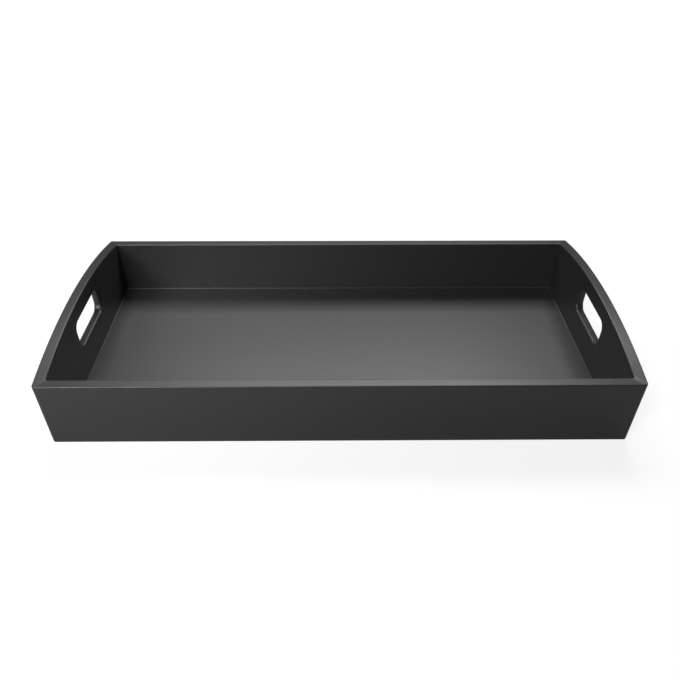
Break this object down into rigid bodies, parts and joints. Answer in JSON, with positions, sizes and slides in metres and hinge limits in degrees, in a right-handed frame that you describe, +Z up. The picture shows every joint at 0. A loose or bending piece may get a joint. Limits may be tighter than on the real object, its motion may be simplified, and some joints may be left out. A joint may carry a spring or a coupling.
{
  "type": "serving tray",
  "caption": "Long rectangular bamboo serving tray in black lacquer, with low straight sides, arched ends, rounded hand holes and a flat floor held in grooves.",
  "frame": {"origin": "on the table under the middle of the tray", "axes": "+X along the tray's length, towards the right hand hole; +Y towards the back side; +Z up"},
  "size_m": [0.5, 0.235, 0.079],
  "materials": {
    "lacquered_board": "bamboo under satin black lacquer, smooth, with softened edges",
    "lacquered_panel": "bamboo panel under satin black lacquer",
    "bare_bamboo": "sawn bamboo, unfinished, hidden in the joints"
  },
  "bodies": {
    "root": {"base_panel": "lacquered_panel", "front_side": "lacquered_board", "back_side": "lacquered_board", "left_end": "lacquered_board", "right_end": "lacquered_board", "mitre_spline_front_left": "bare_bamboo", "mitre_spline_front_right": "bare_bamboo", "mitre_spline_back_left": "bare_bamboo", "mitre_spline_back_right": "bare_bamboo"}
  },
  "joints": []
}
